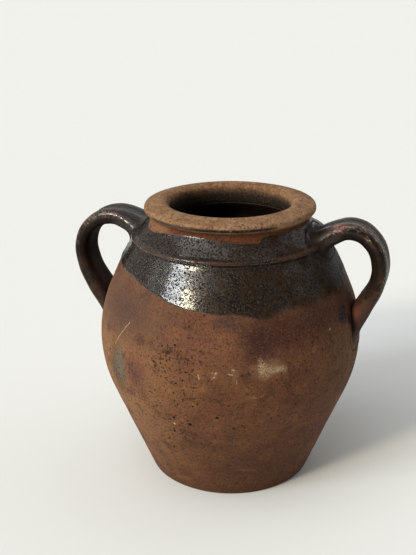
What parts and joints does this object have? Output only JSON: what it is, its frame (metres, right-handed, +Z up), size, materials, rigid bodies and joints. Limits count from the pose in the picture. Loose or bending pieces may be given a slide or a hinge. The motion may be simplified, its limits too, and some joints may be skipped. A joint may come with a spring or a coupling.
{
  "type": "two-handled storage pot",
  "caption": "Round-bellied stoneware storage pot with a wide flanged rim, open mouth and arched strap handles on the shoulder, dark glazed above a tilted dip line.",
  "frame": {"origin": "centre of the foot, on the surface that the pot stands on", "axes": "+Z up through the mouth, +X towards the right handle, -Y towards the viewer"},
  "size_m": [0.2684, 0.22, 0.2364],
  "materials": {
    "fired_clay": "unglazed fired stoneware, matt and gritty",
    "luting_slip": "fired clay slip, matt",
    "dark_glaze": "near-black brown glaze, semi-gloss with a pebbled skin",
    "handle_glaze": "dark brown glaze, glossy and breaking to red-brown on edges",
    "inner_glaze": "dark brown liner glaze, satin"
  },
  "bodies": {
    "root": {"pot_body": "fired_clay", "left_handle": "handle_glaze", "right_handle": "handle_glaze", "upper_slip_joints": "luting_slip", "lower_slip_joints": "luting_slip", "shoulder_glaze": "dark_glaze", "inner_glaze": "inner_glaze"}
  },
  "joints": []
}
